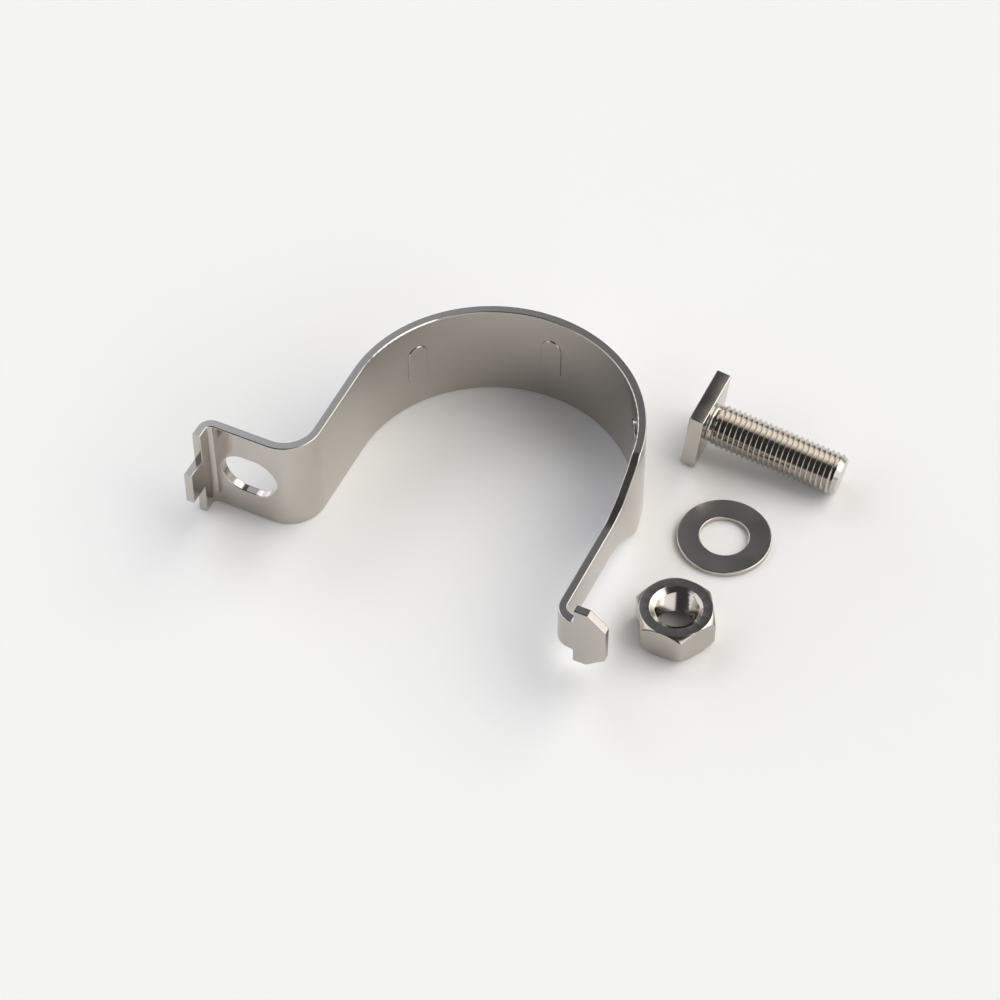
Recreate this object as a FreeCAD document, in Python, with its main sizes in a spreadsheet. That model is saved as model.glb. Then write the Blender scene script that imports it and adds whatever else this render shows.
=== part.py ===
import FreeCAD, Part
import math
import os
import Sketcher

# Sign post clamp laid out on a flat surface: a folded steel band that wraps half way round a
# tubular post, and the square-head bolt, flat washer and hexagon nut that tighten it.
# Origin: on the post's axis, at the surface that the band's lower edge rests on.
# +Z runs along the post, and the two legs of the band run along -Y.

OUT_DIR = "parts"

# Driving dimensions, in millimetres and degrees.
SIZES = [
    ("strip_width", 20.0),
    ("strip_thickness", 1.6),
    ("post_diameter", 50.0),
    ("post_clearance", 0.2),
    ("leg_straight", 15.3),
    ("leg_bend_radius", 5.2),
    ("ear_straight", 10.4),
    ("lip_bend_radius", 1.0),
    ("lip_straight", 1.9),
    ("tongue_length", 3.9),
    ("tongue_width", 7.0),
    ("slot_offset", 4.0),
    ("slot_width", 8.8),
    ("slot_straight", 1.9),
    ("neck_straight", 26.4),
    ("neck_width", 7.3),
    ("neck_corner_radius", 4.0),
    ("neck_root_radius", 10.0),
    ("taper_start", 2.8),
    ("taper_length", 8.5),
    ("hook_bend_radius", 1.75),
    ("head_length", 6.5),
    ("head_width", 13.3),
    ("head_shoulder", 0.65),
    ("head_tip_width", 7.5),
    ("head_chamfer_run", 3.35),
    ("shoulder_fillet", 0.5),
    ("rim_radius", 0.2),
    ("dimple_width", 3.85),
    ("dimple_length", 9.7),
    ("dimple_depth", 0.22),
    ("dimple_edge_radius", 0.12),
    ("dimple_spacing", 56.5),
    ("dimple_turn", 0.3),
    ("thread_diameter", 7.8),
    ("thread_minor", 6.7),
    ("thread_relief", 1.3),
    ("bolt_length", 24.8),
    ("bolt_tip_length", 1.2),
    ("bolt_tip_depth", 0.7),
    ("bolt_head_side", 12.6),
    ("bolt_head_height", 2.75),
    ("nut_across_flats", 12.8),
    ("nut_height", 6.4),
    ("nut_face", 12.6),
    ("nut_corner_drop", 1.1),
    ("nut_bore", 6.9),
    ("nut_countersink", 9.2),
    ("nut_countersink_depth", 0.9),
    ("washer_outer", 16.7),
    ("washer_bore", 8.5),
    ("washer_thickness", 1.6),
    ("washer_edge_radius", 0.2),
    ("row_x", 41.35),
    ("bolt_x", 30.6),
    ("bolt_y", 27.1),
    ("washer_y", 7.5),
    ("nut_y", -14.1),
]

# Sizes that several features share, written with the sheet's names.
SEAT_RADIUS = "(Sizes.post_diameter / 2 + Sizes.post_clearance)"
BACK_RADIUS = "(" + SEAT_RADIUS + " + Sizes.strip_thickness)"
SHOULDER_X = "(" + BACK_RADIUS + " + Sizes.hook_bend_radius + Sizes.head_shoulder)"
LEG_BEND_X = "(" + BACK_RADIUS + " + Sizes.leg_bend_radius)"

DIMPLE_COUNT = 3
DIMPLE_SPREAD = "(%d * Sizes.dimple_spacing)" % (DIMPLE_COUNT - 1)
CHAMFER_REACH = 0.6  # of the nut's width across flats, so just beyond its corners

TOUCH = 0.001  # closer than this, in millimetres, counts as touching
LEAST_CUT = 0.01  # a cut takes at least this many cubic millimetres away
ALIGNED = 0.7  # directions with a larger cosine between them count as alike

doc = FreeCAD.newDocument("sign_post_clamp")
sheet = doc.addObject("Spreadsheet::Sheet", "Sizes")
for row, (alias, number) in enumerate(SIZES, start=1):
    sheet.set("A%d" % row, alias)
    sheet.set("B%d" % row, str(number))
    sheet.setAlias("B%d" % row, alias)
doc.recompute()


def size(alias):
    return float(sheet.get(alias))


def back_radius():
    return size("post_diameter") / 2 + size("post_clearance") + size("strip_thickness")


def vec(x, y, z=0.0):
    return FreeCAD.Vector(x, y, z)


def origin_feature(body, role):
    for feature in body.Origin.OriginFeatures:
        if feature.Role == role:
            return feature
    raise RuntimeError("no origin feature " + role)


def new_body(name):
    body = doc.addObject("PartDesign::Body", name)
    body.Label = name
    return body


def new_sketch(body, name, role, offset=None):
    sketch = body.newObject("Sketcher::SketchObject", name)
    sketch.AttachmentSupport = [(origin_feature(body, role), "")]
    sketch.MapMode = "FlatFace"
    if offset:
        sketch.setExpression(".AttachmentOffset.Base.z", offset)
    return sketch


def line(sketch, start, end):
    return sketch.addGeometry(Part.LineSegment(vec(*start), vec(*end)), False)


def arc(sketch, centre, radius, start, end):
    circle = Part.Circle(vec(*centre), vec(0, 0, 1), radius)
    return sketch.addGeometry(Part.ArcOfCircle(circle, start, end), False)


def relate(sketch, kind, *where):
    sketch.addConstraint(Sketcher.Constraint(kind, *where))


def dimension(sketch, kind, where, value, expression):
    index = sketch.addConstraint(Sketcher.Constraint(kind, *where, value))
    sketch.setExpression("Constraints[%d]" % index, expression)


def closed_outline(sketch, points):
    lines = [line(sketch, a, b) for a, b in zip(points, points[1:] + points[:1])]
    for edge, following in zip(lines, lines[1:] + lines[:1]):
        relate(sketch, "Coincident", edge, 2, following, 1)
    return lines


def settle(sketch):
    doc.recompute()
    if sketch.solve() != 0:
        raise RuntimeError(sketch.Name + " doesn't solve")
    if not sketch.FullyConstrained:
        raise RuntimeError(sketch.Name + " isn't fully constrained")


def add_pad(body, sketch, name, length, symmetric=False):
    feature = body.newObject("PartDesign::Pad", name)
    feature.Profile = sketch
    if symmetric:
        feature.SideType = "Symmetric"
    feature.setExpression("Length", length)
    doc.recompute()
    return feature


def check_cut(body, feature, before):
    if body.Shape.Volume > before - LEAST_CUT:
        raise RuntimeError(feature.Name + " cuts nothing")
    return feature


def add_pocket(body, sketch, name, length=None, symmetric=False):
    before = body.Shape.Volume
    feature = body.newObject("PartDesign::Pocket", name)
    feature.Profile = sketch
    if symmetric:
        feature.SideType = "Symmetric"
    if length:
        feature.setExpression("Length", length)
    else:
        feature.Type = "ThroughAll"
    doc.recompute()
    return check_cut(body, feature, before)


def add_turned(body, sketch, name, kind):
    """Revolution or groove of a profile about the body's Z axis."""
    before = body.Shape.Volume
    feature = body.newObject("PartDesign::" + kind, name)
    feature.Profile = sketch
    feature.ReferenceAxis = (origin_feature(body, "Z_Axis"), [""])
    feature.Angle = 360
    doc.recompute()
    if kind == "Groove":
        check_cut(body, feature, before)
    return feature


def finish_body(body, feature):
    body.Tip = feature
    doc.recompute()
    return body


# The band's outline seen along the post: one sheet bent round the post, with a leg, an ear and a
# lip on the left, and a longer leg and a hooked head on the right.
def strip_outline(body):
    sheet_t = size("strip_thickness")
    back = back_radius()
    seat = back - sheet_t
    leg = size("leg_straight")
    leg_r = size("leg_bend_radius")
    lip_r = size("lip_bend_radius")
    neck = size("neck_straight")
    hook_r = size("hook_bend_radius")
    leg_x = -back - leg_r
    lip_x = leg_x - size("ear_straight")
    lip_y = -leg - leg_r - sheet_t - lip_r
    lip_end = lip_y - size("lip_straight") - size("tongue_length")
    hook_x = back + hook_r
    head_end = hook_x + size("head_length")
    quarter = math.pi / 2

    sk = new_sketch(body, "strip_outline", "XY_Plane")
    lip_out = line(sk, (lip_x - lip_r - sheet_t, lip_end), (lip_x - lip_r - sheet_t, lip_y))
    lip_arc_out = arc(sk, (lip_x, lip_y), lip_r + sheet_t, quarter, 2 * quarter)
    ear_out = line(sk, (lip_x, -leg - leg_r), (leg_x, -leg - leg_r))
    leg_arc_out = arc(sk, (leg_x, -leg), leg_r, 3 * quarter, 4 * quarter)
    leg_out = line(sk, (-back, -leg), (-back, 0))
    wrap_out = arc(sk, (0, 0), back, 0, 2 * quarter)
    neck_out = line(sk, (back, 0), (back, -neck))
    hook_arc_out = arc(sk, (hook_x, -neck), hook_r, 2 * quarter, 3 * quarter)
    head_out = line(sk, (hook_x, -neck - hook_r), (head_end, -neck - hook_r))
    head_tip = line(sk, (head_end, -neck - hook_r), (head_end, -neck - hook_r - sheet_t))
    head_in = line(sk, (head_end, -neck - hook_r - sheet_t), (hook_x, -neck - hook_r - sheet_t))
    hook_arc_in = arc(sk, (hook_x, -neck), hook_r + sheet_t, 2 * quarter, 3 * quarter)
    neck_in = line(sk, (seat, -neck), (seat, 0))
    wrap_in = arc(sk, (0, 0), seat, 0, 2 * quarter)
    leg_in = line(sk, (-seat, 0), (-seat, -leg))
    leg_arc_in = arc(sk, (leg_x, -leg), leg_r + sheet_t, 3 * quarter, 4 * quarter)
    ear_in = line(sk, (leg_x, -leg - leg_r - sheet_t), (lip_x, -leg - leg_r - sheet_t))
    lip_arc_in = arc(sk, (lip_x, lip_y), lip_r, quarter, 2 * quarter)
    lip_in = line(sk, (lip_x - lip_r, lip_y), (lip_x - lip_r, lip_end))
    lip_tip = line(sk, (lip_x - lip_r, lip_end), (lip_x - lip_r - sheet_t, lip_end))

    smooth_joints = [
        (lip_out, 2, lip_arc_out, 2),
        (lip_arc_out, 1, ear_out, 1),
        (ear_out, 2, leg_arc_out, 1),
        (leg_arc_out, 2, leg_out, 1),
        (leg_out, 2, wrap_out, 2),
        (wrap_out, 1, neck_out, 1),
        (neck_out, 2, hook_arc_out, 1),
        (hook_arc_out, 2, head_out, 1),
        (head_in, 2, hook_arc_in, 2),
        (hook_arc_in, 1, neck_in, 1),
        (neck_in, 2, wrap_in, 1),
        (wrap_in, 2, leg_in, 1),
        (leg_in, 2, leg_arc_in, 2),
        (leg_arc_in, 1, ear_in, 1),
        (ear_in, 2, lip_arc_in, 1),
        (lip_arc_in, 2, lip_in, 1),
    ]
    sharp_corners = [
        (head_out, 2, head_tip, 1),
        (head_tip, 2, head_in, 1),
        (lip_in, 2, lip_tip, 1),
        (lip_tip, 2, lip_out, 1),
    ]
    bends = [
        (lip_arc_in, lip_arc_out),
        (leg_arc_out, leg_arc_in),
        (hook_arc_out, hook_arc_in),
        (wrap_in, wrap_out),
    ]
    for joint in smooth_joints:
        relate(sk, "Tangent", *joint)
    for corner in sharp_corners:
        relate(sk, "Coincident", *corner)
    for inside, outside in bends:
        relate(sk, "Coincident", inside, 3, outside, 3)
    relate(sk, "Coincident", wrap_in, 3, -1, 1)
    for upright in (lip_out, leg_out, neck_out, head_tip, lip_in):
        relate(sk, "Vertical", upright)
    for level in (ear_out, head_out, head_in, lip_tip):
        relate(sk, "Horizontal", level)

    inside_radii = ["Sizes.lip_bend_radius", "Sizes.leg_bend_radius", "Sizes.hook_bend_radius", SEAT_RADIUS]
    for (inside, outside), rule, radius in zip(bends, inside_radii, (lip_r, leg_r, hook_r, seat)):
        dimension(sk, "Radius", [inside], radius, rule)
        dimension(sk, "Radius", [outside], radius + sheet_t, rule + " + Sizes.strip_thickness")
    dimension(sk, "Distance", [leg_out], leg, "Sizes.leg_straight")
    dimension(sk, "Distance", [ear_out], size("ear_straight"), "Sizes.ear_straight")
    dimension(sk, "Distance", [neck_out], neck, "Sizes.neck_straight")
    dimension(sk, "Distance", [head_out], size("head_length"), "Sizes.head_length")
    dimension(sk, "Distance", [lip_out], lip_y - lip_end, "Sizes.lip_straight + Sizes.tongue_length")
    settle(sk)
    return sk


# Trims the right leg from the full strip to the narrow neck, with a rounded shoulder and root.
# Seen along X; the lower side is its mirror image.
def neck_trim(body):
    half = size("strip_width") / 2
    neck = size("neck_width") / 2
    start = size("taper_start")
    end = start - size("taper_length")
    slope = math.atan2(half - neck, size("taper_length"))
    corner = size("neck_corner_radius")
    root = size("neck_root_radius")
    corner_run = corner * math.tan(slope / 2)
    root_run = root * math.tan(slope / 2)
    far = -size("neck_straight") - size("hook_bend_radius") - 2 * size("strip_thickness")
    up = math.pi / 2

    sk = new_sketch(body, "neck_trim_outline", "YZ_Plane", SHOULDER_X)
    corner_arc = arc(sk, (start + corner_run, half - corner), corner, up, up + slope)
    taper = line(sk, (start - corner_run * math.cos(slope), half - corner_run * math.sin(slope)),
                 (end + root_run * math.cos(slope), neck + root_run * math.sin(slope)))
    root_arc = arc(sk, (end - root_run, neck + root), root, -up, -up + slope)
    edge = line(sk, (end - root_run, neck), (far, neck))
    back = line(sk, (far, neck), (far, half))
    top = line(sk, (far, half), (start + corner_run, half))
    relate(sk, "Tangent", corner_arc, 2, taper, 1)
    relate(sk, "Tangent", taper, 2, root_arc, 2)
    relate(sk, "Tangent", root_arc, 1, edge, 1)
    relate(sk, "Coincident", edge, 2, back, 1)
    relate(sk, "Coincident", back, 2, top, 1)
    relate(sk, "Tangent", top, 2, corner_arc, 1)
    relate(sk, "Horizontal", edge)
    relate(sk, "Vertical", back)
    relate(sk, "Horizontal", top)
    rise = "((Sizes.strip_width - Sizes.neck_width) / 2)"
    run_share = "tan(atan(" + rise + " / Sizes.taper_length) / 2)"
    dimension(sk, "Radius", [corner_arc], corner, "Sizes.neck_corner_radius")
    dimension(sk, "Radius", [root_arc], root, "Sizes.neck_root_radius")
    dimension(sk, "DistanceY", [-1, 1, edge, 1], neck, "Sizes.neck_width / 2")
    dimension(sk, "DistanceY", [-1, 1, top, 1], half, "Sizes.strip_width / 2")
    dimension(sk, "DistanceX", [edge, 2, -1, 1], -far,
              "Sizes.neck_straight + Sizes.hook_bend_radius + 2 * Sizes.strip_thickness")
    dimension(sk, "DistanceX", [-1, 1, top, 2], start + corner_run,
              "Sizes.taper_start + Sizes.neck_corner_radius * " + run_share)
    dimension(sk, "DistanceX", [edge, 1, -1, 1], root_run - end,
              "Sizes.taper_length - Sizes.taper_start + Sizes.neck_root_radius * " + run_share)
    settle(sk)
    return add_pocket(body, sk, "neck_trim", length=SHOULDER_X)


# Cuts the corners off the hooked head, seen along Y.
def head_trim(body):
    half = size("strip_width") / 2
    head = size("head_width") / 2
    tip = size("head_tip_width") / 2
    back = back_radius()
    shoulder = back + size("hook_bend_radius") + size("head_shoulder")
    end = back + size("hook_bend_radius") + size("head_length")
    run = size("head_chamfer_run")

    sk = new_sketch(body, "head_trim_outline", "XZ_Plane")
    points = [(shoulder, head), (end - run, head), (end, tip), (end, half), (shoulder, half)]
    side, chamfer, outer, top, inner = closed_outline(sk, points)
    relate(sk, "Horizontal", side)
    relate(sk, "Vertical", outer)
    relate(sk, "Horizontal", top)
    relate(sk, "Vertical", inner)
    head_end = BACK_RADIUS + " + Sizes.hook_bend_radius + Sizes.head_length"
    dimension(sk, "DistanceX", [-1, 1, side, 1], shoulder, SHOULDER_X)
    dimension(sk, "DistanceX", [-1, 1, outer, 1], end, head_end)
    dimension(sk, "DistanceX", [chamfer, 1, chamfer, 2], run, "Sizes.head_chamfer_run")
    dimension(sk, "DistanceY", [-1, 1, side, 1], head, "Sizes.head_width / 2")
    dimension(sk, "DistanceY", [-1, 1, outer, 1], tip, "Sizes.head_tip_width / 2")
    dimension(sk, "DistanceY", [-1, 1, top, 1], half, "Sizes.strip_width / 2")
    settle(sk)
    return add_pocket(body, sk, "head_trim", symmetric=True)


# Leaves the tongue standing in the middle of the lip, seen along X.
def lip_trim(body):
    half = size("strip_width") / 2
    tongue = size("tongue_width") / 2
    bends = size("leg_bend_radius") + size("strip_thickness") + size("lip_bend_radius")
    lip_end = size("leg_straight") + bends + size("lip_straight")
    reach = size("tongue_length")

    sk = new_sketch(body, "lip_trim_outline", "YZ_Plane")
    points = [(-lip_end, tongue), (-lip_end - reach, tongue), (-lip_end - reach, half), (-lip_end, half)]
    side, outer, top, inner = closed_outline(sk, points)
    relate(sk, "Horizontal", side)
    relate(sk, "Vertical", outer)
    relate(sk, "Horizontal", top)
    relate(sk, "Vertical", inner)
    edge = "Sizes.leg_straight + Sizes.leg_bend_radius + Sizes.strip_thickness"
    edge += " + Sizes.lip_bend_radius + Sizes.lip_straight"
    dimension(sk, "DistanceX", [side, 1, -1, 1], lip_end, edge)
    dimension(sk, "DistanceX", [side, 2, side, 1], reach, "Sizes.tongue_length")
    dimension(sk, "DistanceY", [-1, 1, side, 1], tongue, "Sizes.tongue_width / 2")
    dimension(sk, "DistanceY", [-1, 1, top, 1], half, "Sizes.strip_width / 2")
    settle(sk)
    return add_pocket(body, sk, "lip_trim")


def obround(body, name, role, centre, radius, straight, rules, upright):
    """Slot-shaped outline; rules give the centre's distance along the first axis, the radius and
    the straight length."""
    sk = new_sketch(body, name, role)
    half = straight / 2
    if upright:
        ends = [(centre, -half), (centre, half)]
        side = (radius, 0)
        first_turn = math.pi
        between = "DistanceY"
    else:
        ends = [(centre - half, 0), (centre + half, 0)]
        side = (0, -radius)
        first_turn = math.pi / 2
        between = "DistanceX"
    low_arc = arc(sk, ends[0], radius, first_turn, first_turn + math.pi)
    high_arc = arc(sk, ends[1], radius, first_turn - math.pi, first_turn)
    across = vec(*side)
    right = line(sk, vec(*ends[0]) + across, vec(*ends[1]) + across)
    left = line(sk, vec(*ends[1]) - across, vec(*ends[0]) - across)
    relate(sk, "Tangent", low_arc, 2, right, 1)
    relate(sk, "Tangent", right, 2, high_arc, 1)
    relate(sk, "Tangent", high_arc, 2, left, 1)
    relate(sk, "Tangent", left, 2, low_arc, 1)
    relate(sk, "Equal", low_arc, high_arc)
    relate(sk, "Vertical" if upright else "Horizontal", right)
    dimension(sk, "Radius", [low_arc], radius, rules["radius"])
    dimension(sk, between, [low_arc, 3, high_arc, 3], straight, rules["straight"])
    if upright:
        relate(sk, "Symmetric", low_arc, 3, high_arc, 3, -1, 1)
    else:
        relate(sk, "PointOnObject", low_arc, 3, -1)
        dimension(sk, "DistanceX", [high_arc, 3, -1, 1], -ends[1][0], rules["centre"])
    settle(sk)
    return sk


def ear_slot(body):
    back = back_radius()
    centre = -back - size("leg_bend_radius") - size("slot_offset")
    rules = {
        "radius": "Sizes.slot_width / 2",
        "straight": "Sizes.slot_straight",
        "centre": LEG_BEND_X + " + Sizes.slot_offset - Sizes.slot_straight / 2",
    }
    sk = obround(body, "ear_slot_outline", "XZ_Plane", centre, size("slot_width") / 2,
                 size("slot_straight"), rules, False)
    return add_pocket(body, sk, "ear_slot", symmetric=True)


def shoulder_fillets(body, base):
    """Small inside radius where the neck meets the head's shoulders."""
    neck = size("neck_width") / 2
    back = back_radius()
    shoulder = back + size("hook_bend_radius") + size("head_shoulder")
    names = []
    for number, edge in enumerate(base.Shape.Edges, start=1):
        box = edge.BoundBox
        on_shoulder = abs(box.XMin - shoulder) < TOUCH and abs(box.XMax - shoulder) < TOUCH
        on_neck = abs(box.ZMin - box.ZMax) < TOUCH and abs(abs(box.ZMin) - neck) < TOUCH
        if on_shoulder and on_neck:
            names.append("Edge%d" % number)
    if len(names) != 2:
        raise RuntimeError("the head has %d shoulder edges" % len(names))
    feature = body.newObject("PartDesign::Fillet", "shoulder_fillets")
    feature.Base = (base, names)
    feature.setExpression("Radius", "Sizes.shoulder_fillet")
    doc.recompute()
    return feature


def normal_at(face, point):
    return face.normalAt(*face.Surface.parameter(point))


def sheet_faces(pad):
    """Both faces of the bent sheet, without its two cut ends and its upper and lower edges."""
    bends = size("leg_bend_radius") + size("strip_thickness") + size("lip_bend_radius")
    lip_end = size("leg_straight") + bends + size("lip_straight") + size("tongue_length")
    head_end = back_radius() + size("hook_bend_radius") + size("head_length")
    faces = []
    for face in pad.Shape.Faces:
        centre = face.CenterOfMass
        is_edge = abs(normal_at(face, centre).z) > ALIGNED
        is_end = abs(centre.x - head_end) < TOUCH or abs(centre.y + lip_end) < TOUCH
        if not is_edge and not is_end:
            faces.append(face)
    return faces


def rim_rounding(body, base, pad):
    """Takes the sharp corner off every rim where a cut meets a face of the sheet."""
    faces = sheet_faces(pad)
    names = []
    for number, edge in enumerate(base.Shape.Edges, start=1):
        middle = edge.valueAt((edge.FirstParameter + edge.LastParameter) / 2)
        if min(face.distToShape(Part.Vertex(middle))[0] for face in faces) > TOUCH:
            continue
        sides = [normal_at(face, middle) for face in base.Shape.ancestorsOfType(edge, Part.Face)]
        if len(sides) == 2 and abs(sides[0].dot(sides[1])) < ALIGNED:
            names.append("Edge%d" % number)
    feature = body.newObject("PartDesign::Fillet", "rim_rounding")
    feature.Base = (base, names)
    feature.setExpression("Radius", "Sizes.rim_radius")
    doc.recompute()
    return check_cut(body, feature, base.Shape.Volume)


def strip_body():
    body = new_body("strip")
    pad = add_pad(body, strip_outline(body), "strip_pad", "Sizes.strip_width", symmetric=True)
    trims = [neck_trim(body), head_trim(body), lip_trim(body)]
    mirrored = body.newObject("PartDesign::Mirrored", "lower_trims")
    mirrored.Originals = trims
    mirrored.MirrorPlane = (origin_feature(body, "XY_Plane"), [""])
    finish_body(body, mirrored)
    slot = ear_slot(body)
    shoulders = shoulder_fillets(body, slot)
    return finish_body(body, rim_rounding(body, shoulders, pad))


# Three shallow obround dimples are pressed inwards through the wrap. Each tool is an obround
# block repeated round the post's axis, with all that lies inside a given radius removed.
def dimple_tool(name, start_rule, disc_rule, disc_radius):
    body = new_body(name)
    width = size("dimple_width")
    length = size("dimple_length")
    rules = {
        "radius": "Sizes.dimple_width / 2",
        "straight": "Sizes.dimple_length - Sizes.dimple_width",
    }
    outline = obround(body, name + "_outline", "XZ_Plane", 0, width / 2, length - width, rules, True)
    outline.setExpression(".AttachmentOffset.Base.z", "-(" + start_rule + ")")
    through = "4 * Sizes.strip_thickness"
    block = add_pad(body, outline, name + "_block", through)
    pattern = body.newObject("PartDesign::PolarPattern", name + "_pattern")
    pattern.Originals = [block]
    pattern.Axis = (origin_feature(body, "Z_Axis"), [""])
    pattern.Occurrences = DIMPLE_COUNT
    pattern.setExpression("Angle", DIMPLE_SPREAD)
    finish_body(body, pattern)
    disc = new_sketch(body, name + "_disc", "XY_Plane")
    circle = disc.addGeometry(Part.Circle(vec(0, 0), vec(0, 0, 1), disc_radius), False)
    relate(disc, "Coincident", circle, 3, -1, 1)
    dimension(disc, "Radius", [circle], disc_radius, disc_rule)
    settle(disc)
    trimmed = add_pocket(body, disc, name + "_round", symmetric=True)
    brows = []
    for number, edge in enumerate(trimmed.Shape.Edges, start=1):
        if all(abs(math.hypot(p.x, p.y) - disc_radius) < TOUCH for p in edge.discretize(5)):
            brows.append("Edge%d" % number)
    rounding = body.newObject("PartDesign::Fillet", name + "_rounding")
    rounding.Base = (trimmed, brows)
    rounding.setExpression("Radius", "Sizes.dimple_edge_radius")
    finish_body(body, rounding)
    check_cut(body, rounding, trimmed.Shape.Volume)
    first_turn = size("dimple_turn") - size("dimple_spacing") * (DIMPLE_COUNT - 1) / 2
    body.Placement = FreeCAD.Placement(vec(0, 0, 0), vec(0, 0, 1), first_turn)
    body.setExpression(".Placement.Rotation.Angle", "Sizes.dimple_turn - %s / 2" % DIMPLE_SPREAD)
    doc.recompute()
    return body


def clamp_band():
    back = back_radius()
    seat = back - size("strip_thickness")
    depth = size("dimple_depth")
    raised = dimple_tool("dimple_raised", SEAT_RADIUS + " + Sizes.strip_thickness / 2",
                         SEAT_RADIUS + " - Sizes.dimple_depth", seat - depth)
    recess = dimple_tool("dimple_recess", BACK_RADIUS + " + Sizes.strip_thickness",
                         BACK_RADIUS + " - Sizes.dimple_depth", back - depth)
    filled = doc.addObject("Part::Fuse", "strip_with_dimples")
    filled.Base = strip_body()
    filled.Tool = raised
    band = doc.addObject("Part::Cut", "clamp_band")
    band.Base = filled
    band.Tool = recess
    band.setExpression(".Placement.Base.z", "Sizes.strip_width / 2")
    doc.recompute()
    return band


# Square-head bolt, lying on an edge of its head and the end of its shank, tip towards +X.
def square_head_bolt():
    side = size("bolt_head_side")
    radius = size("thread_diameter") / 2
    neck = size("thread_minor") / 2
    relief = size("thread_relief")
    length = size("bolt_length")
    tip = size("bolt_tip_length")
    body = new_body("square_head_bolt")

    head = new_sketch(body, "head_outline", "XY_Plane")
    half = side / 2
    lower, right, upper, left = closed_outline(
        head, [(-half, -half), (half, -half), (half, half), (-half, half)])
    relate(head, "Horizontal", lower)
    relate(head, "Vertical", right)
    relate(head, "Horizontal", upper)
    relate(head, "Vertical", left)
    relate(head, "Symmetric", lower, 1, upper, 1, -1, 1)
    dimension(head, "Distance", [lower], side, "Sizes.bolt_head_side")
    dimension(head, "Distance", [right], side, "Sizes.bolt_head_side")
    settle(head)
    head_pad = add_pad(body, head, "head_pad", "Sizes.bolt_head_height")
    head_pad.Reversed = True
    doc.recompute()

    shank = new_sketch(body, "shank_profile", "XZ_Plane")
    step = radius - neck
    points = [(0, 0), (neck, 0), (neck, relief), (radius, relief + step), (radius, length - tip),
              (radius - size("bolt_tip_depth"), length), (0, length)]
    under, relief_side, run_in, thread, chamfer, end, axis = closed_outline(shank, points)
    relate(shank, "Coincident", under, 1, -1, 1)
    relate(shank, "Horizontal", under)
    relate(shank, "Vertical", relief_side)
    relate(shank, "Vertical", thread)
    relate(shank, "Horizontal", end)
    relate(shank, "Vertical", axis)
    step_rule = "(Sizes.thread_diameter - Sizes.thread_minor) / 2"
    dimension(shank, "Distance", [under], neck, "Sizes.thread_minor / 2")
    dimension(shank, "Distance", [relief_side], relief, "Sizes.thread_relief")
    dimension(shank, "DistanceX", [run_in, 1, run_in, 2], step, step_rule)
    dimension(shank, "DistanceY", [run_in, 1, run_in, 2], step, step_rule)
    dimension(shank, "DistanceY", [chamfer, 1, chamfer, 2], tip, "Sizes.bolt_tip_length")
    dimension(shank, "DistanceX", [chamfer, 2, chamfer, 1], size("bolt_tip_depth"), "Sizes.bolt_tip_depth")
    dimension(shank, "Distance", [axis], length, "Sizes.bolt_length")
    settle(shank)
    finish_body(body, add_turned(body, shank, "shank", "Revolution"))

    overhang = "(Sizes.bolt_head_side - Sizes.thread_diameter) / 2"
    tilt = "atan(" + overhang + " / (Sizes.bolt_length - Sizes.bolt_tip_length))"
    body.Placement = FreeCAD.Placement(vec(0, 0, 0), vec(0, 1, 0), 90)
    body.setExpression(".Placement.Rotation.Angle", "90 deg + " + tilt)
    body.setExpression(".Placement.Base.x", "Sizes.bolt_x")
    body.setExpression(".Placement.Base.y", "Sizes.bolt_y")
    body.setExpression(".Placement.Base.z", "Sizes.bolt_head_side / 2 * cos(" + tilt + ")")
    doc.recompute()
    return body


def flat_washer():
    body = new_body("flat_washer")
    ring = new_sketch(body, "ring", "XY_Plane")
    for name in ("washer_outer", "washer_bore"):
        circle = ring.addGeometry(Part.Circle(vec(0, 0), vec(0, 0, 1), size(name) / 2), False)
        relate(ring, "Coincident", circle, 3, -1, 1)
        dimension(ring, "Diameter", [circle], size(name), "Sizes." + name)
    settle(ring)
    disc = add_pad(body, ring, "disc", "Sizes.washer_thickness")
    rims = []
    for number, edge in enumerate(disc.Shape.Edges, start=1):
        if abs(edge.BoundBox.ZMax - edge.BoundBox.ZMin) < TOUCH:
            rims.append("Edge%d" % number)
    if len(rims) != 4:
        raise RuntimeError("the washer has %d rims" % len(rims))
    rounding = body.newObject("PartDesign::Fillet", "rim_rounding")
    rounding.Base = (disc, rims)
    rounding.setExpression("Radius", "Sizes.washer_edge_radius")
    finish_body(body, rounding)
    body.setExpression(".Placement.Base.x", "Sizes.row_x")
    body.setExpression(".Placement.Base.y", "Sizes.washer_y")
    doc.recompute()
    return body


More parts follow.
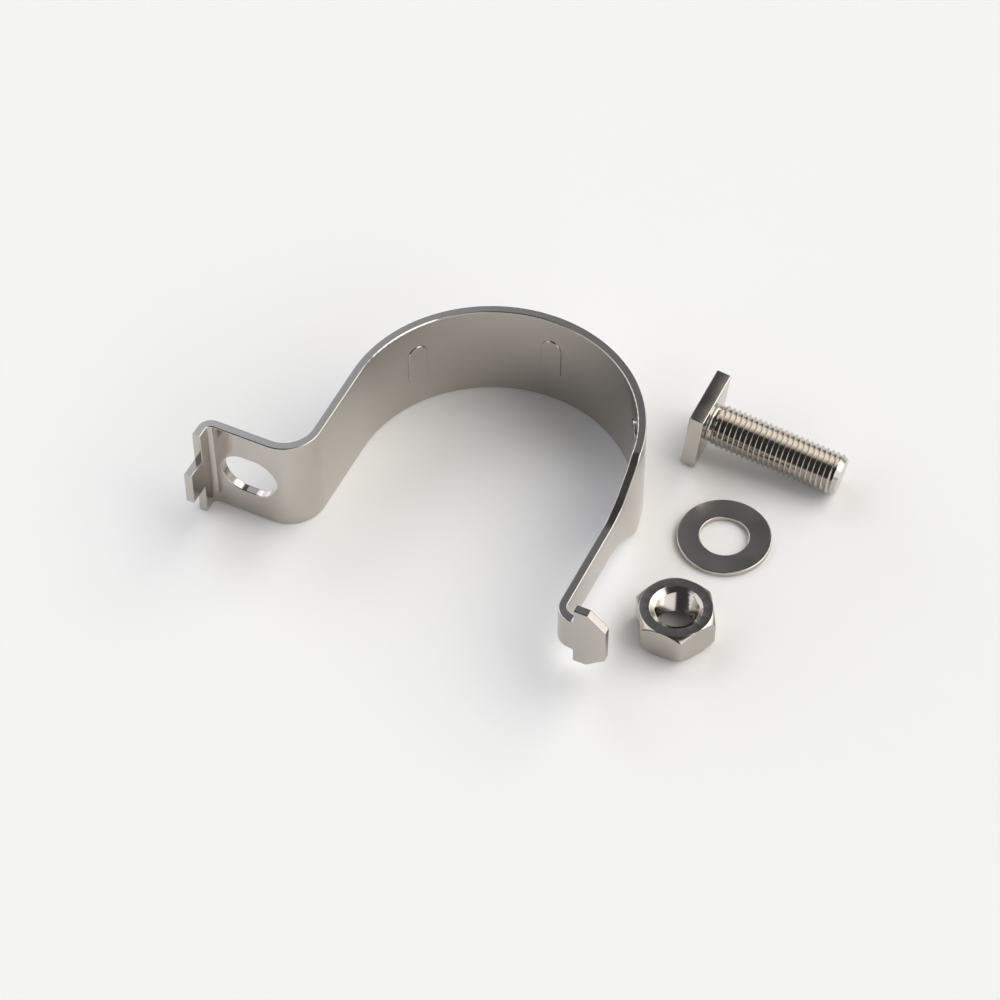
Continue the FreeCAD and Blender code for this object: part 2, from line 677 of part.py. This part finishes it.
# Hexagon nut with both faces chamfered and countersunk, corners on the X axis.
def hex_nut():
    flats = size("nut_across_flats")
    height = size("nut_height")
    corner = flats / math.sqrt(3)
    face = size("nut_face") / 2
    outer = CHAMFER_REACH * flats
    drop = size("nut_corner_drop") * (outer - face) / (corner - face)
    body = new_body("hex_nut")

    outline = new_sketch(body, "hexagon", "XY_Plane")
    turns = [math.radians(60 * k) for k in range(6)]
    sides = closed_outline(outline, [(corner * math.cos(a), corner * math.sin(a)) for a in turns])
    rim = outline.addGeometry(Part.Circle(vec(0, 0), vec(0, 0, 1), corner), True)
    relate(outline, "Coincident", rim, 3, -1, 1)
    for edge in sides:
        relate(outline, "PointOnObject", edge, 1, rim)
    for edge in sides[1:]:
        relate(outline, "Equal", sides[0], edge)
    relate(outline, "PointOnObject", sides[0], 1, -1)
    dimension(outline, "Radius", [rim], corner, "Sizes.nut_across_flats / sqrt(3)")
    settle(outline)
    add_pad(body, outline, "hexagon_pad", "Sizes.nut_height", symmetric=True)

    corners = new_sketch(body, "corner_profile", "XZ_Plane")
    points = [(face, height / 2), (outer, height / 2 - drop), (outer, height / 2)]
    slope, upright, top = closed_outline(corners, points)
    relate(corners, "Vertical", upright)
    relate(corners, "Horizontal", top)
    reach = "(%s * Sizes.nut_across_flats - Sizes.nut_face / 2)" % CHAMFER_REACH
    span = "(Sizes.nut_across_flats / sqrt(3) - Sizes.nut_face / 2)"
    dimension(corners, "DistanceX", [-1, 1, slope, 1], face, "Sizes.nut_face / 2")
    dimension(corners, "DistanceY", [-1, 1, slope, 1], height / 2, "Sizes.nut_height / 2")
    dimension(corners, "Distance", [top], outer - face, reach)
    dimension(corners, "Distance", [upright], drop, "Sizes.nut_corner_drop * " + reach + " / " + span)
    settle(corners)
    corner_cut = add_turned(body, corners, "corner_chamfer", "Groove")

    sink = new_sketch(body, "countersink_profile", "XZ_Plane")
    wide = size("nut_countersink") / 2
    depth = size("nut_countersink_depth")
    low = height / 2 - depth
    mouth = [(0, low), (size("nut_bore") / 2, low), (wide, height / 2), (0, height / 2)]
    floor, flank, face_line, axis = closed_outline(sink, mouth)
    relate(sink, "Horizontal", floor)
    relate(sink, "Horizontal", face_line)
    relate(sink, "Vertical", axis)
    relate(sink, "PointOnObject", axis, 1, -2)
    dimension(sink, "DistanceY", [-1, 1, axis, 1], height / 2, "Sizes.nut_height / 2")
    dimension(sink, "Distance", [axis], depth, "Sizes.nut_countersink_depth")
    dimension(sink, "Distance", [floor], size("nut_bore") / 2, "Sizes.nut_bore / 2")
    dimension(sink, "Distance", [face_line], wide, "Sizes.nut_countersink / 2")
    settle(sink)
    sink_cut = add_turned(body, sink, "countersink", "Groove")

    mirrored = body.newObject("PartDesign::Mirrored", "lower_face")
    mirrored.Originals = [corner_cut, sink_cut]
    mirrored.MirrorPlane = (origin_feature(body, "XY_Plane"), [""])
    finish_body(body, mirrored)

    bore = new_sketch(body, "bore_outline", "XY_Plane")
    circle = bore.addGeometry(Part.Circle(vec(0, 0), vec(0, 0, 1), size("nut_bore") / 2), False)
    relate(bore, "Coincident", circle, 3, -1, 1)
    dimension(bore, "Diameter", [circle], size("nut_bore"), "Sizes.nut_bore")
    settle(bore)
    finish_body(body, add_pocket(body, bore, "bore", symmetric=True))
    body.setExpression(".Placement.Base.x", "Sizes.row_x")
    body.setExpression(".Placement.Base.y", "Sizes.nut_y")
    body.setExpression(".Placement.Base.z", "Sizes.nut_height / 2")
    doc.recompute()
    return body


pieces = [clamp_band(), square_head_bolt(), flat_washer(), hex_nut()]
doc.recompute()

for item in doc.Objects:
    if "Invalid" in item.State or "Error" in item.State:
        raise RuntimeError("%s is %s" % (item.Name, item.State))

for piece in pieces:
    shape = piece.Shape
    if shape.isNull() or not shape.isValid() or len(shape.Solids) != 1:
        raise RuntimeError(piece.Label + " isn't one valid solid")

os.makedirs(OUT_DIR, exist_ok=True)
for piece in pieces:
    shape = piece.Shape
    shape.exportStep(os.path.join(OUT_DIR, piece.Label + ".step"))
    box = shape.BoundBox
    print("%s volume %.1f box %.2f..%.2f %.2f..%.2f %.2f..%.2f" % (
        piece.Label, shape.Volume, box.XMin, box.XMax, box.YMin, box.YMax, box.ZMin, box.ZMax))
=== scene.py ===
import math

import bmesh
import bpy
from mathutils import Matrix, Vector


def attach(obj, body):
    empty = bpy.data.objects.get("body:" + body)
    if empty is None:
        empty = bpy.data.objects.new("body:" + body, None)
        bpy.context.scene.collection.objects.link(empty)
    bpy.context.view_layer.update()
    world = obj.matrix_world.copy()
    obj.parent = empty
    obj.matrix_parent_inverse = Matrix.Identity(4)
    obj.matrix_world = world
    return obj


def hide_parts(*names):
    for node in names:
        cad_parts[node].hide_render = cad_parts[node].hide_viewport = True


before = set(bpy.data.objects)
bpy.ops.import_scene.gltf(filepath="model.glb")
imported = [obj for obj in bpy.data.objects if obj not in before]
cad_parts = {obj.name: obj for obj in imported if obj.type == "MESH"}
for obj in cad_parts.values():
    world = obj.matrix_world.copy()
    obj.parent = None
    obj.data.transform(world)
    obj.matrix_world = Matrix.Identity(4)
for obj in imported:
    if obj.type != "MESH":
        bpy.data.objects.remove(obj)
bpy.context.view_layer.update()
mm = 0.001
threadWeld = 0.000002           # m, points of a thread nearer than this are one
pieceWeld = 0.000004            # m, the same for a whole piece
sharpAngle = 38                 # degrees, edges steeper than this stay sharp
reliefGain = 10                 # bump strength for each mm of a finish's relief


def linearColour(hexCode):
    # sRGB hex to the linear values that the shader sockets take
    steps = [int(hexCode[i:i + 2], 16) / 255 for i in (1, 3, 5)]
    return tuple(s / 12.92 if s <= 0.04045 else ((s + 0.055) / 1.055) ** 2.4 for s in steps) + (1,)


def addNode(tree, kind, settings=None, **links):
    # settings are the node's own options, links are its inputs: a socket to join or a plain value
    node = tree.nodes.new(kind)
    for name, value in (settings or {}).items():
        setattr(node, name, value)
    for name, value in links.items():
        key = int(name[1:]) if name[0] == "i" and name[1:].isdigit() else name.replace("_", " ")
        if isinstance(value, bpy.types.NodeSocket):
            tree.links.new(value, node.inputs[key])
        else:
            node.inputs[key].default_value = value
    return node


cameraPlan = {
    "location": (0.163321, -0.341365, 0.450844),
    "tilt": 39.902,             # degrees up from straight down
    "heading": 25.339,          # degrees about the vertical
    "lens": 119.915,            # mm on a 36 mm sensor
}

camera = bpy.data.objects.new("camera", bpy.data.cameras.new("camera"))
bpy.context.scene.collection.objects.link(camera)
camera.location = cameraPlan["location"]
camera.rotation_euler = (math.radians(cameraPlan["tilt"]), 0, math.radians(cameraPlan["heading"]))
camera.data.lens = cameraPlan["lens"]
camera.data.sensor_width = 36
camera.data.clip_start = 0.01
bpy.context.scene.camera = camera
bpy.context.scene.view_settings.view_transform = "Standard"

# Every angle in degrees: turn is from +Y towards -X, rise is above the floor. A softbox spans from
# turn - width to turn + width and from rise - height to rise + height, and its border fades over edge.
studio = {
    "horizon": "#FAFAFA",       # what shows past the floor's end
    "horizonFade": 0.12,        # height on the unit sky where it has turned into the ceiling
    "ceiling": "#464648",       # dim room
    "floor": "#FAFAFA",
    "floorHalf": 8.0,           # m
    "floorHeight": -0.00005,    # m, just under the part so the two never share a plane
    "softboxes": {
        "backRight": {"turn": -50, "rise": 46, "width": 48, "height": 28,
                      "edge": (8, 16), "colour": "#FFFCF6", "power": 2.6},
        "backLeft": {"turn": 52, "rise": 44, "width": 14, "height": 10,
                     "edge": (24, 7), "colour": "#E9F1FF", "power": 2.4},
        "left": {"turn": 95, "rise": 27, "width": 50, "height": 24,
                 "edge": (8, 7), "colour": "#F6F9FF", "power": 1.3},
        "lowLeft": {"turn": 82, "rise": 6, "width": 25, "height": 8,
                    "edge": (6, 4), "colour": "#FFFFFF", "power": 1.0},
        "frontRight": {"turn": -125, "rise": 24, "width": 25, "height": 16,
                       "edge": (6, 6), "colour": "#FFFFFF", "power": 1.3},
    },
}


def studioWorld(plan):
    world = bpy.data.worlds.new("studio")
    world.use_nodes = True
    bpy.context.scene.world = world
    tree = world.node_tree
    tree.nodes.clear()
    ray = addNode(tree, "ShaderNodeTexCoord").outputs["Generated"]
    height = addNode(tree, "ShaderNodeSeparateXYZ", Vector=ray).outputs["Z"]
    rise = addNode(tree, "ShaderNodeMath", {"operation": "ARCSINE"}, i0=height).outputs[0]
    dimmer = addNode(tree, "ShaderNodeMapRange", {"interpolation_type": "SMOOTHSTEP"},
                     Value=height, From_Min=0.0, From_Max=plan["horizonFade"], To_Min=0.0, To_Max=1.0)
    room = addNode(tree, "ShaderNodeMix", {"data_type": "RGBA"}, i0=dimmer.outputs["Result"],
                   i6=linearColour(plan["horizon"]), i7=linearColour(plan["ceiling"]))
    total = addNode(tree, "ShaderNodeBackground", Color=room.outputs[2], Strength=1.0).outputs[0]
    for box in plan["softboxes"].values():
        turn = math.radians(box["turn"])
        forward = (-math.sin(turn), math.cos(turn), 0)
        across = (math.cos(turn), math.sin(turn), 0)
        sides = [addNode(tree, "ShaderNodeVectorMath", {"operation": "DOT_PRODUCT"},
                         i0=ray, i1=axis).outputs["Value"] for axis in (across, forward)]
        swing = addNode(tree, "ShaderNodeMath", {"operation": "ARCTAN2"}, i0=sides[0], i1=sides[1]).outputs[0]
        lift = addNode(tree, "ShaderNodeMath", {"operation": "SUBTRACT"}, i0=rise, i1=math.radians(box["rise"]))
        glow = box["power"]
        for angle, half, edge in ((swing, box["width"], box["edge"][0]),
                                  (lift.outputs[0], box["height"], box["edge"][1])):
            size = addNode(tree, "ShaderNodeMath", {"operation": "ABSOLUTE"}, i0=angle)
            fade = addNode(tree, "ShaderNodeMapRange", {"interpolation_type": "SMOOTHSTEP"}, Value=size.outputs[0],
                           From_Min=math.radians(half - edge), From_Max=math.radians(half + edge),
                           To_Min=1.0, To_Max=0.0)
            glow = addNode(tree, "ShaderNodeMath", {"operation": "MULTIPLY"}, i0=fade.outputs["Result"],
                           i1=glow).outputs[0]
        light = addNode(tree, "ShaderNodeBackground", Color=linearColour(box["colour"]), Strength=glow)
        total = addNode(tree, "ShaderNodeAddShader", i0=total, i1=light.outputs[0]).outputs[0]
    addNode(tree, "ShaderNodeOutputWorld", Surface=total)


studioWorld(studio)
print("studio: world and", len(studio["softboxes"]), "softboxes")


def paleFloor(plan):
    # matt white studio paper
    half, height = plan["floorHalf"], plan["floorHeight"]
    mesh = bpy.data.meshes.new("studio_floor")
    mesh.from_pydata([(-half, -half, height), (half, -half, height), (half, half, height),
                      (-half, half, height)], [], [(0, 1, 2, 3)])
    floor = bpy.data.objects.new("studio_floor", mesh)
    bpy.context.scene.collection.objects.link(floor)
    material = bpy.data.materials.new("mattWhitePaper")
    material.use_nodes = True
    tree = material.node_tree
    tree.nodes.clear()
    paper = addNode(tree, "ShaderNodeBsdfDiffuse", Color=linearColour(plan["floor"]))
    addNode(tree, "ShaderNodeOutputMaterial", Surface=paper.outputs[0])
    mesh.materials.append(material)


paleFloor(studio)


# A4 stainless steel throughout, a warm grey that mirrors its surroundings softly. All pattern sizes are in mm.
finishes = {
    # cold-rolled strip with a satin mill finish: faint lines along the rolling direction, so along the band
    "satinRolledStrip": {"light": "#C8C2BB", "dark": "#C0BAB2", "roughness": (0.13, 0.19), "patch": 9.0,
                         "stretch": (0.25, 0.25, 3.0), "grain": 0.5, "relief": 0.004},
    # stamped from the same strip, then tumbled to take off the burr
    "tumbledStamping": {"light": "#C8C2BB", "dark": "#BEB8B0", "roughness": (0.14, 0.22), "patch": 5.0,
                        "stretch": (1, 1, 1), "grain": 0.4, "relief": 0.003},
    # cold forged and rolled, passivated
    "coldForgedSteel": {"light": "#C8C2BB", "dark": "#BEB8B0", "roughness": (0.10, 0.17), "patch": 4.0,
                        "stretch": (1, 1, 1), "grain": 0.35, "relief": 0.003},
    # turned from bar: faces left by a fine cut
    "turnedBarSteel": {"light": "#C8C2BB", "dark": "#BEB8B0", "roughness": (0.10, 0.17), "patch": 4.0,
                       "stretch": (1, 1, 1), "grain": 0.3, "relief": 0.003},
}


def stainless(name):
    plan = finishes[name]
    material = bpy.data.materials.new(name)
    material.use_nodes = True
    tree = material.node_tree
    tree.nodes.clear()
    place = addNode(tree, "ShaderNodeTexCoord").outputs["Object"]
    inMm = addNode(tree, "ShaderNodeMapping", Vector=place, Scale=(1 / mm, 1 / mm, 1 / mm)).outputs[0]
    drawn = addNode(tree, "ShaderNodeMapping", Vector=inMm, Scale=plan["stretch"]).outputs[0]
    patches = addNode(tree, "ShaderNodeTexNoise", Vector=inMm, Scale=1 / plan["patch"], Detail=3.0, Roughness=0.55)
    grain = addNode(tree, "ShaderNodeTexNoise", Vector=drawn, Scale=1 / plan["grain"], Detail=4.0, Roughness=0.6)
    tone = addNode(tree, "ShaderNodeMix", {"data_type": "RGBA"}, i0=patches.outputs["Fac"],
                   i6=linearColour(plan["dark"]), i7=linearColour(plan["light"]))
    blended = addNode(tree, "ShaderNodeMath", {"operation": "MULTIPLY_ADD"}, i0=grain.outputs["Fac"], i1=0.5,
                      i2=addNode(tree, "ShaderNodeMath", {"operation": "MULTIPLY"}, i0=patches.outputs["Fac"],
                                 i1=0.5).outputs[0])
    polish = addNode(tree, "ShaderNodeMapRange", Value=blended.outputs[0], From_Min=0.3, From_Max=0.7,
                     To_Min=plan["roughness"][0], To_Max=plan["roughness"][1])
    ripple = addNode(tree, "ShaderNodeBump", Height=grain.outputs["Fac"], Strength=plan["relief"] * reliefGain,
                     Distance=plan["relief"] * mm)
    steel = addNode(tree, "ShaderNodeBsdfPrincipled", Base_Color=tone.outputs[2], Metallic=1.0,
                    Roughness=polish.outputs["Result"], Normal=ripple.outputs[0])
    addNode(tree, "ShaderNodeOutputMaterial", Surface=steel.outputs[0])
    return material


def dressNode(name, finish):
    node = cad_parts[name]
    material = stainless(finish)
    for slot in node.material_slots:
        slot.material = material


dressNode("clamp_band", "satinRolledStrip")
print("finishes: band dressed")


def threadTree(inside):
    # A helix of one V groove swept round. inside cuts it into a bore, otherwise it stands on a shank.
    tree = bpy.data.node_groups.new("threadInside" if inside else "threadOutside", "GeometryNodeTree")
    for name in ("Pitch", "Length", "Crest", "Root", "Start Radius", "Start Run", "Start Rise",
                 "End Radius", "End Rise", "Fillet"):
        tree.interface.new_socket(name, in_out="INPUT", socket_type="NodeSocketFloat")
    for name in ("Segments", "Profile Points", "Turns"):
        tree.interface.new_socket(name, in_out="INPUT", socket_type="NodeSocketInt")
    tree.interface.new_socket("Material", in_out="INPUT", socket_type="NodeSocketMaterial")
    tree.interface.new_socket("Geometry", in_out="OUTPUT", socket_type="NodeSocketGeometry")
    given = addNode(tree, "NodeGroupInput").outputs

    def maths(operation, first, second=0.0, third=0.0):
        return addNode(tree, "ShaderNodeMath", {"operation": operation}, i0=first, i1=second, i2=third).outputs[0]

    steps = maths("MULTIPLY", given["Segments"], given["Turns"])
    grid = addNode(tree, "GeometryNodeMeshGrid", Size_X=1.0, Size_Y=1.0, Vertices_X=maths("ADD", steps, 1.0),
                   Vertices_Y=maths("ADD", given["Profile Points"], 1.0))
    spot = addNode(tree, "ShaderNodeSeparateXYZ", Vector=addNode(tree, "GeometryNodeInputPosition").outputs[0])
    turn = maths("MULTIPLY", maths("ADD", spot.outputs["X"], 0.5), given["Turns"])
    step = maths("ADD", spot.outputs["Y"], 0.5)
    run = maths("MULTIPLY", maths("SUBTRACT", maths("ADD", turn, step), 1.0), given["Pitch"])
    along = maths("MINIMUM", maths("MAXIMUM", run, 0.0), given["Length"])
    # triangle wave from groove bottom (0) to crest (1)
    wave = maths("SUBTRACT", 1.0, maths("ABSOLUTE", maths("MULTIPLY_ADD", step, 2.0, -1.0)))
    profile = addNode(tree, "ShaderNodeMapRange", Value=wave, To_Min=given["Root"],
                      To_Max=given["Crest"]).outputs["Result"]
    start = addNode(tree, "ShaderNodeMapRange", Value=maths("SUBTRACT", along, given["Start Run"]),
                    From_Min=0.0, From_Max=given["Start Rise"], To_Min=given["Start Radius"],
                    To_Max=given["Crest"]).outputs["Result"]
    end = addNode(tree, "ShaderNodeMapRange", Value=maths("SUBTRACT", given["Length"], along), From_Min=0.0,
                  From_Max=given["End Rise"], To_Min=given["End Radius"], To_Max=given["Crest"]).outputs["Result"]
    limit = "MAXIMUM" if inside else "MINIMUM"
    radius = maths(limit, profile, start)
    if not inside:
        # quarter-round fillet where the shank meets the head
        short = maths("MAXIMUM", maths("SUBTRACT", given["Fillet"], along), 0.0)
        squares = maths("SUBTRACT", maths("MULTIPLY", given["Fillet"], given["Fillet"]),
                        maths("MULTIPLY", short, short))
        flare = maths("SUBTRACT", maths("ADD", given["Root"], given["Fillet"]), maths("SQRT", squares))
        radius = maths("MAXIMUM", radius, flare)
    radius = maths(limit, radius, end)
    angle = maths("MULTIPLY", turn, math.tau)
    point = addNode(tree, "ShaderNodeCombineXYZ", X=maths("MULTIPLY", radius, maths("COSINE", angle)),
                    Y=maths("MULTIPLY", radius, maths("SINE", angle)), Z=along)
    shaped = addNode(tree, "GeometryNodeSetPosition", Geometry=grid.outputs["Mesh"], Position=point.outputs[0])
    joined = addNode(tree, "GeometryNodeMergeByDistance", Geometry=shaped.outputs[0], Distance=threadWeld)
    real = addNode(tree, "GeometryNodeRealizeInstances", Geometry=joined.outputs[0])
    painted = addNode(tree, "GeometryNodeSetMaterial", Geometry=real.outputs[0], Material=given["Material"])
    addNode(tree, "NodeGroupOutput", Geometry=painted.outputs[0])
    return tree


def threadMesh(name, tree, sizes, material):
    holder = bpy.data.objects.new(name, bpy.data.meshes.new(name))
    bpy.context.scene.collection.objects.link(holder)
    modifier = holder.modifiers.new("thread", "NODES")
    modifier.node_group = tree
    sockets = {item.name: item.identifier for item in tree.interface.items_tree if item.in_out == "INPUT"}
    for key, value in sizes.items():
        modifier[sockets[key]] = value
    modifier[sockets["Material"]] = material
    view = bpy.context.evaluated_depsgraph_get()
    mesh = bpy.data.meshes.new_from_object(holder.evaluated_get(view))
    bpy.data.objects.remove(holder)
    return mesh


def polygonRing(sides, across, corner, height, segments, start=0.0):
    # a ring round a polygon with rounded corners: its points bunch at the corners, two each side of the middle
    per = segments // sides
    inner = across / 2 - corner
    reach = inner / math.cos(math.pi / sides)
    ring = []
    for k in range(segments):
        side, step = divmod(k, per)
        turn = math.tau * side / sides + start
        half = math.pi / sides
        if step <= 2 or step >= per - 2:
            middle = turn if step <= 2 else turn + 2 * half
            swing = (step if step <= 2 else step - per) / 2 * half
            ring.append((reach * math.cos(middle) + corner * math.cos(middle + swing),
                         reach * math.sin(middle) + corner * math.sin(middle + swing), height))
        else:
            share = (step - 2) / (per - 4)
            a = Vector((reach * math.cos(turn) + corner * math.cos(turn + half),
                        reach * math.sin(turn) + corner * math.sin(turn + half)))
            b = Vector((reach * math.cos(turn + 2 * half) + corner * math.cos(turn + half),
                        reach * math.sin(turn + 2 * half) + corner * math.sin(turn + half)))
            p = a.lerp(b, share)
            ring.append((p.x, p.y, height))
    return ring


def circleRing(radius, height, segments):
    return [(radius * math.cos(math.tau * k / segments), radius * math.sin(math.tau * k / segments), height)
            for k in range(segments)]


def addRings(form, rings, capLast=False):
    rows = [[form.verts.new(point) for point in ring] for ring in rings]
    for low, high in zip(rows, rows[1:]):
        for k in range(len(low)):
            n = (k + 1) % len(low)
            form.faces.new((low[k], low[n], high[n], high[k]))
    if capLast:
        form.faces.new(rows[-1])


def finishPiece(name, form, placing, material):
    bmesh.ops.remove_doubles(form, verts=form.verts, dist=pieceWeld)
    bmesh.ops.recalc_face_normals(form, faces=form.faces)
    bmesh.ops.transform(form, matrix=placing, verts=form.verts)
    loose = [edge for edge in form.edges if len(edge.link_faces) != 2]
    mesh = bpy.data.meshes.new(name)
    form.to_mesh(mesh)
    form.free()
    mesh.materials.clear()
    mesh.materials.append(material)
    for face in mesh.polygons:
        face.use_smooth = True
        face.material_index = 0
    mesh.set_sharp_from_angle(angle=math.radians(sharpAngle))
    piece = bpy.data.objects.new(name, mesh)
    bpy.context.scene.collection.objects.link(piece)
    weight = piece.modifiers.new("weight", "WEIGHTED_NORMAL")
    weight.keep_sharp = True
    view = bpy.context.evaluated_depsgraph_get()
    piece.data = bpy.data.meshes.new_from_object(piece.evaluated_get(view))
    piece.data.name = name
    piece.modifiers.clear()
    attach(piece, "root")
    print(name, len(piece.data.polygons), "faces,", len(loose), "open edges")
    return piece


bolt = {
    "headSide": 12.6, "headHeight": 2.75, "edge": 0.18, "corner": 0.2,
    "length": 24.8, "crest": 3.9, "root": 3.4, "pitch": 1.003, "fillet": 0.5,
    "relief": 0.95, "runIn": 0.5, "tipLength": 1.2, "tipRadius": 3.2,
    "tipRing": 0.5, "topRing": 0.3,     # inner rings of the end faces, as shares of tip radius and head side
    "threadTurn": 7,            # segments that the thread is turned by, so its crests stand as in the picture
    "seat": (30.6, 27.1), "segments": 96, "profilePoints": 16,
}


def squareHeadBolt(plan):
    material = stainless("coldForgedSteel")
    count = plan["segments"]
    turns = math.ceil(plan["length"] / plan["pitch"]) + 1
    sizes = {"Pitch": plan["pitch"] * mm, "Length": plan["length"] * mm, "Crest": plan["crest"] * mm,
             "Root": plan["root"] * mm, "Start Radius": plan["root"] * mm,
             "Start Run": plan["relief"] * mm, "Start Rise": plan["runIn"] * mm, "Fillet": plan["fillet"] * mm,
             "End Radius": plan["tipRadius"] * mm, "End Rise": plan["tipLength"] * mm,
             "Segments": count, "Profile Points": plan["profilePoints"], "Turns": turns}
    form = bmesh.new()
    form.from_mesh(threadMesh("bolt_thread", threadTree(False), sizes, material))
    bmesh.ops.rotate(form, cent=(0, 0, 0), verts=form.verts,
                     matrix=Matrix.Rotation(math.tau * plan["threadTurn"] / count, 3, "Z"))
    side, edge, top = plan["headSide"] * mm, plan["edge"] * mm, -plan["headHeight"] * mm
    corner = plan["corner"] * mm
    rings = [circleRing((plan["root"] + plan["fillet"]) * mm, 0, count)]
    soft = edge * (1 - math.sqrt(0.5))
    quarter = math.pi / 4
    for inset, height in ((edge, 0), (soft, -soft), (0, -edge), (0, top + edge), (soft, top + soft), (edge, top)):
        rings.append(polygonRing(4, side - 2 * inset, corner, height, count, quarter))
    shift = count // 8          # the square's first corner is an eighth of a turn round
    rings[1:] = [ring[-shift:] + ring[:-shift] for ring in rings[1:]]
    rings.append(circleRing(side * plan["topRing"], top, count))
    head = bmesh.new()
    addRings(head, rings, capLast=True)
    headMesh = bpy.data.meshes.new("bolt_head")
    head.to_mesh(headMesh)
    head.free()
    addRings(form, [circleRing(plan["tipRadius"] * mm, plan["length"] * mm, count),
                    circleRing(plan["tipRadius"] * mm * plan["tipRing"], plan["length"] * mm, count)],
             capLast=True)
    form.from_mesh(headMesh)
    tilt = math.atan((plan["headSide"] - 2 * plan["crest"]) / 2 / (plan["length"] - plan["tipLength"]))
    placing = Matrix.Translation(Vector((plan["seat"][0], plan["seat"][1],
                                         plan["headSide"] / 2 * math.cos(tilt))) * mm)
    placing = placing @ Matrix.Rotation(math.radians(90) + tilt, 4, "Y")
    piece = finishPiece("bolt", form, placing, material)
    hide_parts("square_head_bolt")


squareHeadBolt(bolt)


nut = {
    "across": 12.8, "height": 6.4, "face": 6.3, "cornerDrop": 1.1, "corner": 0.22, "edge": 0.12,
    "bore": 3.45, "groove": 4.0, "sink": 4.6, "sinkDepth": 0.75, "pitch": 1.15,
    "faceEase": (0.05, 0.02),   # how far the faces' outer ring stands in and down
    "softShare": 0.3,           # middle ring of an edge's rounding, as a share of edge
    "seat": (41.35, -14.1), "segments": 96, "profilePoints": 16,
}


def hexNut(plan):
    material = stainless("turnedBarSteel")
    count = plan["segments"]
    height = plan["height"]
    turns = math.ceil(height / plan["pitch"]) + 1
    sizes = {"Pitch": plan["pitch"] * mm, "Length": height * mm, "Crest": plan["bore"] * mm,
             "Root": plan["groove"] * mm, "Start Radius": plan["sink"] * mm, "Start Run": 0.0,
             "Start Rise": plan["sinkDepth"] * mm, "End Radius": plan["sink"] * mm,
             "End Rise": plan["sinkDepth"] * mm, "Segments": count, "Profile Points": plan["profilePoints"],
             "Turns": turns}
    form = bmesh.new()
    form.from_mesh(threadMesh("nut_thread", threadTree(True), sizes, material))
    across, edge, corner = plan["across"], plan["edge"], plan["corner"]
    slope = plan["cornerDrop"] / (across / math.sqrt(3) - plan["face"])

    def skirt(inset, drop, mirrored):
        ring = []
        for x, y, z in polygonRing(6, across - 2 * inset, corner, 0, count):
            reach = math.hypot(x, y)
            down = max(0.0, reach - plan["face"]) * slope + drop
            ring.append((x, y, down if mirrored else height - down))
        return ring

    soft = edge * plan["softShare"]
    sink, face = plan["sink"], plan["face"]
    easeIn, easeDown = plan["faceEase"]
    rings = [circleRing(sink, height, count), circleRing(face - easeIn, height, count),
             circleRing(face, height - easeDown, count), skirt(edge, 0, False), skirt(soft, soft, False),
             skirt(0, edge, False), skirt(0, edge, True), skirt(soft, soft, True), skirt(edge, 0, True),
             circleRing(face, easeDown, count), circleRing(face - easeIn, 0, count),
             circleRing(sink, 0, count)]
    addRings(form, [[(x * mm, y * mm, z * mm) for x, y, z in ring] for ring in rings])
    placing = Matrix.Translation(Vector((plan["seat"][0], plan["seat"][1], 0)) * mm)
    piece = finishPiece("nut", form, placing, material)
    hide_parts("hex_nut")


hexNut(nut)

# thinner than the CAD's, as the picture shows it
washer = {
    "outer": 8.35, "bore": 4.25, "thickness": 1.0, "edge": 0.2, "bevelSteps": 4,
    "seat": (41.19, 7.97), "segments": 160,
}


def flatWasher(plan):
    edge, top, steps = plan["edge"], plan["thickness"], plan["bevelSteps"]
    quarter = [math.pi / 2 * k / steps for k in range(steps + 1)]
    # section from the bore's foot up, over the top face and down the outside
    section = [(plan["bore"] + edge * (1 - math.cos(a)), top - edge * (1 - math.sin(a))) for a in quarter]
    section += [(plan["outer"] - edge * (1 - math.sin(a)), top - edge * (1 - math.cos(a))) for a in quarter]
    section += [(plan["outer"] - edge * (1 - math.cos(a)), edge * (1 - math.sin(a))) for a in quarter]
    section += [(plan["bore"] + edge * (1 - math.sin(a)), edge * (1 - math.cos(a))) for a in quarter]
    form = bmesh.new()
    rings = [circleRing(r * mm, z * mm, plan["segments"]) for r, z in section]
    addRings(form, rings + rings[:1])
    placing = Matrix.Translation(Vector((plan["seat"][0], plan["seat"][1], 0)) * mm)
    piece = finishPiece("washer", form, placing, stainless("tumbledStamping"))
    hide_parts("flat_washer")


flatWasher(washer)
